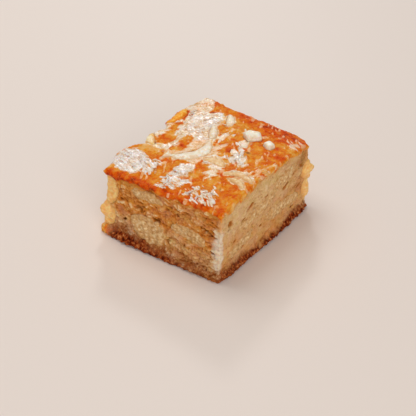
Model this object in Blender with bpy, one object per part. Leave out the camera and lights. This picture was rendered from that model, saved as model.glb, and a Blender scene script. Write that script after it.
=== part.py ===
"""A square-cut piece of apple sharlotka: a whisked sponge baked round slices of apple.

The piece stands on its baked underside. X runs along the near cut face, from left to right,
Y runs from the near cut face to the far one, and Z is up. The origin is under the middle of
the box that holds the piece. Sizes are in millimetres times MM, so the model is in metres.
"""

import math
import random

import bmesh
import bpy
from mathutils import Vector, noise

MM = 0.001

# Corners of the cut piece in plan, at its base and at its top: near left, near right, far right, far left.
BASE_CORNERS = ((-39.2, -42.6), (36.8, -43.6), (35.6, 42.1), (-40.5, 43.2))
TOP_CORNERS = ((-37.3, -40.8), (38.2, -43.0), (34.9, 41.2), (-36.8, 45.4))
# Heights of the top at the left, middle and right of its near edge, middle and far edge.
TOP_HEIGHTS = ((38.3, 39.2, 41.8), (40.8, 42.4, 43.4), (42.0, 41.6, 38.8))
NOMINAL_HEIGHT = 41.0

# How far the torn edges of the top stand out from the straight line between their corners:
# (place along the edge, distance outwards).
LEFT_EDGE = (
    (-41, 0), (-34, 0.4), (-27, 4.6), (-16, 3.2), (-11.5, -3.8), (-5, 0.6), (0, 0.6),
    (6.8, -3.2), (14, 3.0), (24, 3.6), (32, 2.2), (45, 0),
)  # fmt: skip
FAR_EDGE = ((-37, 0), (-30, 1.4), (-19, -0.6), (-3, 1.2), (8, 1.6), (24, 4.0), (31, 3.0), (35, 0))
TEAR_POWER = 3  # how fast a torn edge fades inwards and downwards

CELL = 3.5  # side of one face of the sponge's skin
RIM = 1.5  # width of the rounded rim of the crust
LIP = 0.7  # how far the crust stands out over the cut faces
LIP_HEIGHT = 3.4  # how deep the crust is at its edge
RIM_ROUND = 0.5  # how far the rim is rounded back at the very top
BASE_CRUST = 4.5  # height of the crust round the base
BASE_FLARE = 0.9  # how far the base crust spreads
FOOT_FLARE = 0.2  # and how far its lowest edge does
EDGE = 1e-4
FOOT = 1.6  # height at which the base crust starts to draw in
STRATA = (11.0, 11.0, 3.2)  # length, width and height of the crumb's flat bubbles
STRATA_RELIEF = 0.75
CRUMB = 4.6
CRUMB_RELIEF = 0.45
BUMP = 10.0  # distance between the bumps of the top
BUMP_RELIEF = 0.8
PUCKER = 4.4
PUCKER_RELIEF = 0.4

# Dried white skin that lies on the crust: centre x, y, half length, half width, turn in degrees,
# and the number of flakes that stand up from it.
SKIN_PATCHES = (
    (-25, -28.5, 14.5, 7.5, -18, 9),
    (0.5, -29, 12, 5.5, 88, 7),
    (22, -36, 11.5, 5, -18, 8),
    (-23, 22, 18, 10.5, 125, 5),
    (16, 5, 12, 6, -48, 6),
)
SKIN_RELIEF = 0.6
FLAKE_LENGTH = (3.6, 6.4)
FLAKE_WIDTH = 0.4  # share of its length
FLAKE_THICK = 0.7
FLAKE_LIFT = 0.6
FLAKE_SINK = 0.5
FLAKE_SPREAD = 0.8  # share of the patch that the flakes stand on
SEED = 12

GAP = 0.35  # between a piece of apple and its pocket
REACH = 5.0  # how far a pocket is cut on past the surface it opens in
SECTION_SIDES = 12  # of a slice that a cut face runs through
HOLLOW_SIDES = 8
# Share of the section's size at each share of the depth, to the rounded inner end.
INNER_TAPER = ((0.5, 0.97), (0.84, 0.8), (1, 0.42))
PROUD = 0.25  # how far a slice stands out of the cut face
BLUNT = 0.68  # 1 for a slice with round ends, less for squarer ones
UNEVEN = 0.12  # how far a cut slice's outline strays from an even lens, as a share of its size

# Slices that a cut face runs through: the face, the middle of the section along the face and up,
# its width, its height, how deep the slice runs in, its tilt in degrees and its sag.
SIDE_SLICES = {
    "apple_near_thick": ("near", -8.5, 12.4, 22, 13, 18, 3, 0),
    "apple_near_middle": ("near", 17.5, 21.6, 21, 5.6, 14, -4, 1.0),
    "apple_near_upper": ("near", -10, 32.6, 18, 4.2, 13, 2, 0.6),
    "apple_right_upper": ("right", 17, 30.5, 24, 4.6, 12, 2, 0.4),
    "apple_right_middle": ("right", -8, 24.2, 36, 4.8, 15, 3, 0.6),
    "apple_right_low": ("right", 16, 13.6, 32, 5.4, 13, -2, 0.5),
    "apple_right_corner": ("right", -25, 13.0, 21, 5.0, 10, 4, 0.3),
    "apple_far_upper": ("far", -14, 30.5, 28, 5.0, 14, 3, 0.8),
    "apple_far_middle": ("far", 8, 19.0, 26, 6.2, 12, -5, 0.5),
    "apple_far_low": ("far", -14, 10.6, 22, 7.6, 15, 4, 0),
    "apple_left_upper": ("left", 18, 29.0, 24, 5.2, 13, -3, 0.8),
    "apple_left_middle": ("left", -6, 19.6, 27, 6.0, 14, 4, 0.6),
    "apple_left_low": ("left", 14, 11.6, 24, 7.2, 12, 2, 0),
}

# Hollows where the batter drew away from the apple: the face, middle along and up, width, height,
# depth and tilt.
HOLLOWS = (
    ("near", -14.5, 23.0, 8.5, 3.8, 5, -8),
    ("near", -3.5, 20.8, 9, 1.8, 4, -4),
    ("near", 28.8, 27.2, 11, 3.2, 6, -9),
    ("near", 32.6, 16.6, 3.2, 2.6, 4, 0),
    ("near", -24.5, 13.0, 2.2, 3.4, 3, 10),
    ("near", 10.5, 29.4, 6.5, 1.8, 3, -12),
    ("right", 20.5, 25.2, 6.5, 1.7, 4, -6),
    ("right", -35.2, 28.2, 5.0, 2.6, 4, 6),
    ("right", -18, 30.2, 6.0, 1.8, 3, 4),
    ("right", 26, 7.6, 6.0, 1.8, 3, 0),
    ("right", -35, 20.2, 4.2, 1.6, 3, 10),
    ("far", 12, 27.5, 9.0, 2.8, 5, 6),
    ("far", -27, 22.0, 6.0, 2.4, 4, -5),
    ("left", 2, 30.0, 8.0, 3.0, 5, 5),
    ("left", 30, 20.5, 6.0, 2.2, 4, -6),
)

# Apple at a corner of the piece: the corner, lowest and highest point, reach along X and along Y,
# how far back it lies from the corner, how far its tip stands out, and the tip's height as a share.
CORNER_PIECES = {
    "apple_corner_upper": ("near left", 18.6, 34.8, 8.0, 10.0, 1.9, 0.0, 0.6),
    "apple_corner_low": ("near left", 5.0, 17.6, 7.4, 8.0, 1.1, 2.6, 0.62),
    "apple_tip": ("far right", 19.2, 28.2, 5.0, 6.0, 0.3, 2.6, 0.57),
    "apple_edge": ("far right", 7.0, 17.6, 4.5, 5.0, 0.7, 0.4, 0.43),
}
CORNER_LEVELS = 8
CORNER_SIDES = 12
CORNER_END = 0.45  # size of a corner piece at its ends, as a share of its middle
CORNER_INSIDE = 0.3  # how far in its middle lies, as a share of its reach
CORNER_BULGE = 0.35  # how far it swells out of the cut faces
CORNER_PAST = 4.0  # how many times farther its pocket reaches out
TIP_ANGLE = math.radians(225)
TIP_SPREAD = math.radians(34)
TIP_HEIGHT = 0.2

# Slices that lie in the top: the middle of the arc that they follow, its radius, its first and
# last angle in degrees, half the slice's width, its thickness, its tilt and its rise.
TOP_SLICES = {
    "apple_top_long": (-15.4, -1.2, 12.4, -88, 34, 4.2, 2.4, 7, 1.0),
    "apple_top_crescent": (27.1, -24.6, 13.2, 50, 126, 1.9, 2.2, -12, 1.0),
    "apple_top_sliver": (25.7, -29.0, 12.3, 42, 100, 1.7, 2.0, -12, 0.8),
    "apple_top_strip": (8.4, -19.7, 12.5, 60, 118, 2.8, 2.0, 5, 0.7),
    "apple_top_blade": (-44.0, -5.2, 40.4, 21, 40, 2.2, 2.0, -6, 0.7),
    "apple_top_striped": (-24, 23, 17.0, 12, 50, 2.3, 2.0, 6, 0.7),
    "apple_top_edge": (-63, 20, 27.0, -17, 17, 2.7, 4.6, 16, 1.0),
    "apple_top_amber": (-27.8, -0.7, 9.3, 188, 258, 2.2, 3.0, -8, 0.5),
}
TOP_STATIONS = 8
TOP_SECTION_SIDES = 8
TIP_SHARE = 0.16  # width of a slice at its tips, as a share of its middle

# Chunks of apple that stand in the top: middle x, y, length, width, height, how much of it
# stands out, its turn in degrees and its number of sides.
CHUNKS = {
    "apple_chunk_large": (10.6, 23.4, 10.8, 8.6, 6.4, 3.3, 24, 5),
    "apple_chunk_small": (22.0, 22.2, 6.8, 5.6, 5.0, 2.2, -8, 6),
    "apple_top_bit": (-17, -14.6, 7.6, 4.8, 3.4, 1.2, 70, 3),
}
CHUNK_TOP = 0.62  # size of a chunk's worn top, as a share of its foot


def smooth_step(share):
    share = min(max(share, 0.0), 1.0)
    return share * share * (3 - 2 * share)


def mix(low, high, share):
    return low + (high - low) * share


def profile(points, place):
    """The height of a line through (place, height) points, with no corners in it."""
    if place <= points[0][0]:
        return points[0][1]
    for (start, low), (end, high) in zip(points, points[1:]):
        if place <= end:
            return mix(low, high, smooth_step((place - start) / (end - start)))
    return points[-1][1]


def plan_point(corners, across, along):
    """The point of a four-cornered outline at two shares, from its near left corner."""
    near = Vector(corners[0]).lerp(Vector(corners[1]), across)
    far = Vector(corners[3]).lerp(Vector(corners[2]), across)
    return near.lerp(far, along)


def middle_curve(low, middle, high, share):
    """The parabola through three values at 0, a half and 1."""
    return (
        low * (1 - share) * (1 - 2 * share)
        + middle * 4 * share * (1 - share)
        + high * share * (2 * share - 1)
    )


def at_y(start, end, y):
    """The x of a line between two points, at a y."""
    return mix(start[0], end[0], (y - start[1]) / (end[1] - start[1]))


def shares_of(x, y):
    """How far across and along the top a point lies, as shares."""
    near_left, near_right, far_right, far_left = TOP_CORNERS
    left = at_y(near_left, far_left, y)
    right = at_y(near_right, far_right, y)
    across = (x - left) / (right - left)
    near = mix(near_left[1], near_right[1], across)
    far = mix(far_left[1], far_right[1], across)
    return across, (y - near) / (far - near)


def patch_depth(patch, x, y):
    """How far inside an oval patch a point lies: 1 at its middle, 0 at its edge and outside."""
    middle_x, middle_y, half_length, half_width, turn = patch[:5]
    angle = math.radians(turn)
    dx, dy = x - middle_x, y - middle_y
    length = (dx * math.cos(angle) + dy * math.sin(angle)) / half_length
    width = (dy * math.cos(angle) - dx * math.sin(angle)) / half_width
    return max(0.0, 1 - math.hypot(length, width))


def relief(point, sizes, height):
    """Smooth lumps of the given sizes, between minus and plus the height."""
    return height * noise.noise(Vector(p / s for p, s in zip(point, sizes)))


def top_height(x, y):
    """Height of the crust: the lie of the whole top, its bumps and the skin on it."""
    across, along = shares_of(x, y)
    rows = [middle_curve(*row, across) for row in TOP_HEIGHTS]
    height = middle_curve(*rows, along)
    height += relief((x, y, 0), (BUMP, BUMP, BUMP), BUMP_RELIEF)
    height += relief((x, y, 7), (PUCKER, PUCKER, PUCKER), PUCKER_RELIEF)
    for patch in SKIN_PATCHES:
        height += SKIN_RELIEF * smooth_step(patch_depth(patch, x, y) * 4)
    return height


def cut_line(side, along, height):
    """Where a cut face stands, at a place along it and a height: its y if near or far, else its x."""
    ends = {"near": (0, 1), "right": (1, 2), "far": (3, 2), "left": (0, 3)}[side]
    axis = 0 if side in ("near", "far") else 1
    lines = []
    for corners in (BASE_CORNERS, TOP_CORNERS):
        start, end = corners[ends[0]], corners[ends[1]]
        share = (along - start[axis]) / (end[axis] - start[axis])
        lines.append(mix(start[1 - axis], end[1 - axis], share))
    return mix(lines[0], lines[1], height / NOMINAL_HEIGHT)


def from_face(side, along, height, depth):
    """The point at a depth behind a cut face."""
    line = cut_line(side, along, height)
    if side == "near":
        return Vector((along, line + depth, height))
    if side == "far":
        return Vector((along, line - depth, height))
    if side == "right":
        return Vector((line - depth, along, height))
    return Vector((line + depth, along, height))


def material(name, colour, roughness):
    made = bpy.data.materials.new(name)
    made.use_nodes = True
    surface = made.node_tree.nodes["Principled BSDF"]
    surface.inputs["Base Color"].default_value = (*colour, 1)
    surface.inputs["Roughness"].default_value = roughness
    surface.inputs["Metallic"].default_value = 0
    made.diffuse_color = (*colour, 1)
    return made


def object_of(name, bm, surface=None, collection=None):
    """An object from a mesh in millimetres, closed and facing out."""
    bmesh.ops.scale(bm, vec=(MM, MM, MM), verts=bm.verts)
    bmesh.ops.recalc_face_normals(bm, faces=bm.faces)
    mesh = bpy.data.meshes.new(name)
    bm.to_mesh(mesh)
    bm.free()
    made = bpy.data.objects.new(name, mesh)
    if surface is not None:
        mesh.materials.append(surface)
    (collection or bpy.context.scene.collection).objects.link(made)
    if collection is not None:
        made.hide_render = True
        made.display_type = "WIRE"
    return made


def loft(rings):
    """A closed skin over rings of equal counts, with a face across each end."""
    bm = bmesh.new()
    rows = [[bm.verts.new(point) for point in ring] for ring in rings]
    count = len(rows[0])
    for first, second in zip(rows, rows[1:]):
        for i in range(count):
            j = (i + 1) % count
            bm.faces.new((first[i], first[j], second[j], second[i]))
    for row in (rows[0], rows[-1]):
        middle = bm.verts.new(sum((v.co for v in row), Vector()) / count)
        for i in range(count):
            bm.faces.new((row[i], row[(i + 1) % count], middle))
    return bm


def spaced_cuts(length, cell, rim):
    """Shares along an edge where the skin is divided: evenly, and once near each end."""
    count = round((length - 2 * rim) / cell)
    return [mix(rim, length - rim, i / count) / length for i in range(count + 1)]


def height_cuts():
    """Shares of the height where the sides are divided: at the base crust, evenly, and at the rim."""
    low = [FOOT, BASE_CRUST]
    high = [NOMINAL_HEIGHT - LIP_HEIGHT, NOMINAL_HEIGHT - RIM]
    count = round((high[0] - low[1]) / CELL)
    middle = [mix(low[1], high[0], i / count) for i in range(1, count)]
    return [height / NOMINAL_HEIGHT for height in low + middle + high]


def side_relief(x, y, z):
    """How far the cut crumb stands out: flat bubbles in layers, and crumbs."""
    layers = relief((x, y, z), STRATA, STRATA_RELIEF)
    crumbs = relief((x, y, z + 50), (CRUMB, CRUMB, CRUMB), CRUMB_RELIEF)
    return layers + crumbs


def rim_offset(z, top):
    """How far the side stands out at a height: the base crust, the crust's lip and its round rim."""
    base = BASE_FLARE * (1 - smooth_step((z - FOOT) / (BASE_CRUST - FOOT))) if z > EDGE else FOOT_FLARE
    lip = LIP * smooth_step((z - (top - LIP_HEIGHT)) / (LIP_HEIGHT - RIM))
    rounding = (LIP + RIM_ROUND) * smooth_step((z - (top - RIM)) / RIM)
    return base + lip - rounding


def sponge_skin():
    """The whole piece as a divided box, with every point moved to its place on the real shape."""
    bm = bmesh.new()
    bmesh.ops.create_cube(bm, size=1)
    bmesh.ops.translate(bm, vec=(0.5, 0.5, 0.5), verts=bm.verts)
    width = BASE_CORNERS[1][0] - BASE_CORNERS[0][0]
    length = BASE_CORNERS[3][1] - BASE_CORNERS[0][1]
    cuts = (spaced_cuts(width, CELL, RIM), spaced_cuts(length, CELL, RIM), height_cuts())
    for axis, shares in enumerate(cuts):
        normal = Vector((0, 0, 0))
        normal[axis] = 1
        for share in shares:
            geometry = bm.verts[:] + bm.edges[:] + bm.faces[:]
            bmesh.ops.bisect_plane(bm, geom=geometry, plane_co=normal * share, plane_no=normal)
    underside = [f for f in bm.faces if f.calc_center_median().z < EDGE]
    bmesh.ops.dissolve_faces(bm, faces=underside, use_verts=False)
    for vert in bm.verts:
        vert.co = sponge_point(*vert.co)
    return bm


def sponge_point(across, along, up):
    base = plan_point(BASE_CORNERS, across, along)
    top = plan_point(TOP_CORNERS, across, along)
    place = base.lerp(top, up)
    fade = up**TEAR_POWER
    place.x -= fade * (1 - across) ** TEAR_POWER * profile(LEFT_EDGE, place.y)
    place.y += fade * along**TEAR_POWER * profile(FAR_EDGE, place.x)
    crust = top_height(place.x, place.y)
    height = crust * up
    outwards = Vector((0, 0))
    outwards.x = (across > 1 - EDGE) - (across < EDGE)
    outwards.y = (along > 1 - EDGE) - (along < EDGE)
    if outwards.length > 0 and up > EDGE:
        stand = side_relief(place.x, place.y, height) + rim_offset(height, crust)
        place += outwards.normalized() * stand
    return Vector((place.x, place.y, height))


def section(side, slice_, depth, size, grown, sides):
    """One ring of a slice: a lens with blunt ends, tilted and sagging, at a depth behind the face."""
    middle, height, width, tall, tilt, sag = slice_
    ring = []
    for i in range(sides):
        angle = math.tau * i / sides
        blunt = math.copysign(abs(math.cos(angle)) ** BLUNT, math.cos(angle))
        stray = 1 + UNEVEN * (math.sin(2 * angle + middle) + 0.7 * math.sin(3 * angle + height))
        out = (width / 2 * size * stray + grown) * blunt
        up = (tall / 2 * size * stray + grown) * math.sin(angle)
        up -= sag * (out / (width / 2)) ** 2
        turn = math.radians(tilt)
        along = middle + out * math.cos(turn) - up * math.sin(turn)
        rise = height + out * math.sin(turn) + up * math.cos(turn)
        ring.append(from_face(side, along, rise, depth))
    return ring


def side_slice(side, middle, height, width, tall, depth, tilt, sag, grown=0.0, start=-PROUD):
    """A slice that runs in from a cut face, or its pocket if grown, from a start outside the face."""
    slice_ = (middle, height, width, tall, tilt, sag)
    rings = [section(side, slice_, start, 1, grown, SECTION_SIDES)]
    for share, size in INNER_TAPER:
        rings.append(section(side, slice_, share * depth + grown, size, grown, SECTION_SIDES))
    return loft(rings)


def hollow(side, middle, height, width, tall, depth, tilt):
    """The cutter of a hollow: it narrows to its inner end."""
    slice_ = (middle, height, width, tall, tilt, 0)
    rings = [section(side, slice_, at, size, 0, HOLLOW_SIDES) for at, size in ((-REACH, 1), (depth, 0.5))]
    return loft(rings)


def corner_piece(corner, low, high, reach_x, reach_y, back, tip, tip_at, grown=0.0, past=0.0):
    """A lump of apple at a corner of the piece, or its pocket if grown, past the corner by a reach."""
    index = {"near left": 0, "far right": 2}[corner]
    inwards = 1 if index == 0 else -1
    rings = []
    for level in range(CORNER_LEVELS):
        share = level / (CORNER_LEVELS - 1)
        size = mix(CORNER_END, 1, math.sin(math.pi * share) ** 0.5)
        height = mix(low - grown, high + grown, share)
        corner_at = Vector(BASE_CORNERS[index]).lerp(
            Vector(TOP_CORNERS[index]), height / NOMINAL_HEIGHT
        )
        tipped = tip * math.exp(-(((share - tip_at) / TIP_HEIGHT) ** 2))
        ring = []
        for i in range(CORNER_SIDES):
            turn = math.tau * i / CORNER_SIDES
            angle = TIP_ANGLE + turn
            stray = 1 + UNEVEN * math.sin(3 * angle + low)
            plan = Vector((math.cos(angle), math.sin(angle))) * (1 - CORNER_INSIDE) * stray
            plan = (plan + Vector((CORNER_INSIDE, CORNER_INSIDE))) * size
            plan = Vector((plan.x * reach_x, plan.y * reach_y))
            plan = Vector([swell(value, grown, past) for value in plan])
            away = min(turn, math.tau - turn)
            point = Vector((math.cos(angle), math.sin(angle))) * math.exp(-((away / TIP_SPREAD) ** 2))
            plan += Vector((back, back)) + point * (0 if past else tipped)
            plan = corner_at + plan * inwards
            ring.append((plan.x, plan.y, height))
        rings.append(ring)
    return loft(rings)


def swell(value, grown, past):
    """Limits how far a corner piece stands out of a cut face, or takes its pocket well past the face."""
    if value > 0:
        return value + grown
    if past:
        return value * CORNER_PAST
    return CORNER_BULGE * (math.exp(value / CORNER_BULGE) - 1)


def top_slice(x, y, radius, first, last, half, thick, tilt, rise, grown=0.0, past=0.0):
    """A slice that lies in the crust along an arc, or its pocket if grown, open to the top."""
    rings = []
    spare = math.degrees(grown / radius)
    for step in range(TOP_STATIONS):
        share = step / (TOP_STATIONS - 1)
        angle = math.radians(mix(first - spare, last + spare, share))
        swell = mix(TIP_SHARE, 1, math.sin(math.pi * share) ** 0.6)
        outwards = Vector((math.cos(angle), math.sin(angle)))
        on_arc = Vector((x, y)) + outwards * radius
        middle = top_height(*on_arc) + rise - thick / 2
        ring = []
        for i in range(TOP_SECTION_SIDES):
            turn = math.tau * i / TOP_SECTION_SIDES
            out = (half * swell + grown) * math.cos(turn)
            up = (thick / 2 * mix(0.6, 1, swell) + grown) * math.sin(turn)
            lean = math.radians(tilt)
            across = out * math.cos(lean) - up * math.sin(lean)
            height = middle + out * math.sin(lean) + up * math.cos(lean)
            if past and up > 0.01:
                height += past
            plan = on_arc + outwards * across
            ring.append((plan.x, plan.y, height))
        rings.append(ring)
    return loft(rings)


def chunk(x, y, length, width, tall, out, turn, sides, grown=0.0, past=0.0):
    """A many-sided chunk with a worn top, or its pocket if grown, open to the top."""
    floor = top_height(x, y) + out - tall
    levels = ((0, 0.86), (0.55, 1.0), (0.86, 0.9), (1, CHUNK_TOP))
    if past:
        levels = ((0, 0.86), (0.55, 1.0), (1, 1.0))
    rings = []
    for step, (share, size) in enumerate(levels):
        ring = []
        for i in range(sides):
            angle = math.tau * (i + 0.5) / sides + 0.3 * math.sin(2.1 * i)
            across = (length / 2 * size + grown * 1.5) * math.cos(angle)
            along = (width / 2 * size + grown * 1.5) * math.sin(angle)
            lean = math.radians(turn)
            plan_x = x + across * math.cos(lean) - along * math.sin(lean)
            plan_y = y + across * math.sin(lean) + along * math.cos(lean)
            height = floor + tall * share - (grown if step == 0 else 0)
            if past and step == len(levels) - 1:
                height += past
            ring.append((plan_x, plan_y, height))
        rings.append(ring)
    return loft(rings)


def flake(x, y, length, turn, curl):
    """A thin curled scale: its root in the crust, its tip lifted."""
    outline = ((-0.5, 0), (-0.2, 0.8), (0.2, 1.0), (0.5, 0.0), (0.15, -0.9), (-0.25, -0.7))
    rings = []
    ground = top_height(x, y)
    for level in (-0.5, 0.5):
        ring = []
        for out, side in outline:
            along = out * length
            across = side * length * FLAKE_WIDTH / 2
            lift = mix(-FLAKE_SINK, FLAKE_LIFT, out + 0.5) + curl * side * side
            plan_x = x + along * math.cos(turn) - across * math.sin(turn)
            plan_y = y + along * math.sin(turn) + across * math.cos(turn)
            ring.append((plan_x, plan_y, ground + lift + level * FLAKE_THICK))
        rings.append(ring)
    return loft(rings)


def flakes(collection):
    """Flakes of dried skin, scattered over the inner part of each patch."""
    draw = random.Random(SEED)
    for patch in SKIN_PATCHES:
        middle_x, middle_y, half_length, half_width, turn, count = patch
        lean = math.radians(turn)
        for i in range(count):
            out = math.sqrt((i + 0.5) / count) * FLAKE_SPREAD
            angle = i * math.radians(137.5)
            along = out * half_length * math.cos(angle)
            across = out * half_width * math.sin(angle)
            x = middle_x + along * math.cos(lean) - across * math.sin(lean)
            y = middle_y + along * math.sin(lean) + across * math.cos(lean)
            length = draw.uniform(*FLAKE_LENGTH)
            heading = lean + draw.uniform(-0.9, 0.9) + (math.pi if i % 2 else 0)
            shape = flake(x, y, length, heading, draw.uniform(0.1, 0.4))
            object_of(f"flake_{len(collection.objects)}", shape, collection=collection)


def pockets(collection):
    """Cutters for the room that each piece of apple takes, and for the hollows."""
    for name, values in SIDE_SLICES.items():
        shape = side_slice(*values, grown=GAP, start=-REACH)
        object_of("pocket_" + name, shape, collection=collection)
    for name, values in CORNER_PIECES.items():
        shape = corner_piece(*values, grown=GAP, past=REACH)
        object_of("pocket_" + name, shape, collection=collection)
    for name, values in TOP_SLICES.items():
        object_of("pocket_" + name, top_slice(*values, grown=GAP, past=REACH), collection=collection)
    for name, values in CHUNKS.items():
        object_of("pocket_" + name, chunk(*values, grown=GAP, past=REACH), collection=collection)
    for i, values in enumerate(HOLLOWS):
        object_of(f"hollow_{i}", hollow(*values), collection=collection)


def keep_largest(mesh):
    """Drops the scraps that a cut leaves loose, or hanging on to the main body by an edge or a point."""
    bm = bmesh.new()
    bm.from_mesh(mesh)
    bmesh.ops.triangulate(bm, faces=bm.faces)
    left = set(bm.faces)
    bodies = []
    while left:
        body = []
        front = [left.pop()]
        while front:
            face = front.pop()
            body.append(face)
            for edge in face.edges:
                if len(edge.link_faces) != 2:
                    continue
                for other in edge.link_faces:
                    if other in left:
                        left.remove(other)
                        front.append(other)
        bodies.append(body)
    largest = max(bodies, key=len)
    scraps = [face for body in bodies if body is not largest for face in body]
    bmesh.ops.delete(bm, geom=scraps, context="FACES")
    bm.to_mesh(mesh)
    bm.free()


def apply_boolean(target, operation, collection):
    """Joins a collection's shapes to the target, or cuts them from it, and removes them."""
    modifier = target.modifiers.new(operation.title(), "BOOLEAN")
    modifier.operation = operation
    modifier.operand_type = "COLLECTION"
    modifier.collection = collection
    modifier.solver = "EXACT"
    bpy.context.view_layer.update()
    graph = bpy.context.evaluated_depsgraph_get()
    mesh = bpy.data.meshes.new_from_object(target.evaluated_get(graph))
    target.modifiers.clear()
    keep_largest(mesh)
    target.data = mesh
    for helper in list(collection.objects):
        bpy.data.objects.remove(helper)
    bpy.data.collections.remove(collection)


def helper_collection(name):
    made = bpy.data.collections.new(name)
    bpy.context.scene.collection.children.link(made)
    return made


def sponge(surface):
    """The baked sponge: its skin with the flakes joined on, and the room for the apple cut out."""
    made = object_of("sponge", sponge_skin(), surface)
    scales = helper_collection("flakes")
    flakes(scales)
    apply_boolean(made, "UNION", scales)
    cutters = helper_collection("pockets")
    pockets(cutters)
    apply_boolean(made, "DIFFERENCE", cutters)
    return made


def apple(pale, amber):
    """Every piece of apple that shows, in its pocket."""
    made = []
    for name, values in SIDE_SLICES.items():
        made.append(object_of(name, side_slice(*values), pale))
    for name, values in CORNER_PIECES.items():
        made.append(object_of(name, corner_piece(*values), amber))
    for name, values in TOP_SLICES.items():
        shown = amber if name in ("apple_top_edge", "apple_top_amber") else pale
        made.append(object_of(name, top_slice(*values), shown))
    for name, values in CHUNKS.items():
        made.append(object_of(name, chunk(*values), pale))
    return made


def centre_on_base(objects):
    """Moves the meshes so that the origin is under the middle of the box that holds them."""
    points = [vert.co for made in objects for vert in made.data.vertices]
    low = Vector(min(point[i] for point in points) for i in range(3))
    high = Vector(max(point[i] for point in points) for i in range(3))
    middle = (low + high) / 2
    for made in objects:
        for vert in made.data.vertices:
            vert.co.x -= middle.x
            vert.co.y -= middle.y


def main():
    for existing in list(bpy.data.objects):
        bpy.data.objects.remove(existing)
    sponge_surface = material("baked sponge", (0.55, 0.27, 0.09), 0.6)
    pale = material("baked apple", (0.72, 0.5, 0.24), 0.35)
    amber = material("caramelised apple", (0.7, 0.3, 0.04), 0.3)
    made = [sponge(sponge_surface)] + apple(pale, amber)
    centre_on_base(made)


main()
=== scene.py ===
import math
import random

import bpy
import numpy as np
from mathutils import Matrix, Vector, noise
from mathutils.bvhtree import BVHTree


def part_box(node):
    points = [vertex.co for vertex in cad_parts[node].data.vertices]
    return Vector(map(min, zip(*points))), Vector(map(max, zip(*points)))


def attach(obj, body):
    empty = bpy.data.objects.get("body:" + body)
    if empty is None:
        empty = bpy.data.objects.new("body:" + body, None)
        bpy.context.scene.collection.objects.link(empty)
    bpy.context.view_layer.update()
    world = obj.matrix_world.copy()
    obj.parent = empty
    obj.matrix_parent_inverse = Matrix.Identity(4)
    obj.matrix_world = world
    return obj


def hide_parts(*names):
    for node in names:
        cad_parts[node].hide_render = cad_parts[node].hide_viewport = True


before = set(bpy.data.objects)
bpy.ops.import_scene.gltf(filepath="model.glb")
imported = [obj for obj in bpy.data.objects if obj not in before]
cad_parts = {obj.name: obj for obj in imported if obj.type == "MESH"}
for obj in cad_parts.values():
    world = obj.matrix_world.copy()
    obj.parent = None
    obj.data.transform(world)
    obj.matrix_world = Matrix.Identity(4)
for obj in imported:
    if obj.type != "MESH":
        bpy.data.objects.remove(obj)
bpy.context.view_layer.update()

# THE SPONGE
# A whisked egg, sugar and flour sponge, baked round the apple in a tin and cut square with a knife. Its top
# has baked to a shiny golden crust with a dried white skin, its underside to a dark crumbly crust, and its
# cut faces show a torn, open crumb. It is one mesh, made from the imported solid.
MM = 0.001
SPONGE_VOXEL = 0.4
SPONGE_FACES = 197000
HALF_WIDTH = 38.0
HALF_LENGTH = 43.5
# Each cut face: the axis that it faces along, and which way is into the cake
SIDES = {"near": (1, 1), "right": (0, -1), "far": (1, -1), "left": (0, 1)}
MERGE = 0.01  # points closer than this are joined
# The crumb closes each slice's hollow from this depth on, and runs into its walls
HOLLOW_DEPTH = 1.3
WALL_OVERLAP = 0.5

# Height of the dark base crust at places along the near and the right face
BASE_NEAR = ((-40, 6.6), (-22, 6.0), (0, 4.6), (15, 3.2), (38, 2.4))
BASE_RIGHT = ((-43, 5.2), (-30, 5.0), (-10, 3.8), (10, 3.7), (25, 4.4), (42, 4.6))
BASE_OTHER = 4.6
# How far the foot of the near and the right face bows out, and up to what height
NEAR_BOW = ((-41, 1.6), (-32, 3.6), (-12, 3.6), (4, 3.0), (20, 1.8), (38, 0.8))
RIGHT_BOW = ((-43, 1.0), (-36, 2.4), (-20, 1.8), (-8, 2.6), (10, 2.8), (30, 2.2), (42, 0.4))
BOW_TOP = 7
CORNER_TUCK = 3.0  # how far the foot of the far right corner is drawn in
# Depth of the top crust at places along the near face
CRUST_NEAR = (
    (-40, 7.4), (-33, 6.0), (-24, 3.6), (-16, 2.4), (-8, 2.0), (10, 1.6), (28, 1.6), (38, 1.8),
)
CRUST_OTHER = 2.4
# Open pockets of juice in two faces: place along the face, height, half length and half height
NEAR_POCKETS = (
    (-18.4, 25, 3.4, 1.5), (-9.6, 24.8, 5, 0.9), (6.2, 31, 4, 1.2), (29, 28.4, 6.5, 1.6),
    (34.3, 18.8, 1.6, 1.2), (-1.4, 21.3, 3, 1.0), (18.5, 12.7, 2.2, 1.0), (2, 8.3, 2.5, 1.2),
)
RIGHT_POCKETS = (
    (23.4, 28.5, 3.6, 1.1), (16.8, 24.5, 2.6, 1.2), (-15.4, 31.3, 2.8, 1.2), (-35.2, 30.5, 2.4, 1.8),
    (31.6, 17.6, 1.7, 1.3), (-23.7, 10.4, 1.8, 1.1), (3, 24, 1.2, 0.9), (-6, 13, 1.6, 0.9),
    (11, 14, 2.6, 0.9), (-23, 26.5, 1.8, 0.8), (-19, 16, 1.6, 0.7), (-2, 29.4, 2.2, 0.8),
    (34, 29, 1.5, 0.8), (-31, 18, 1.6, 0.8),
)

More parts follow.
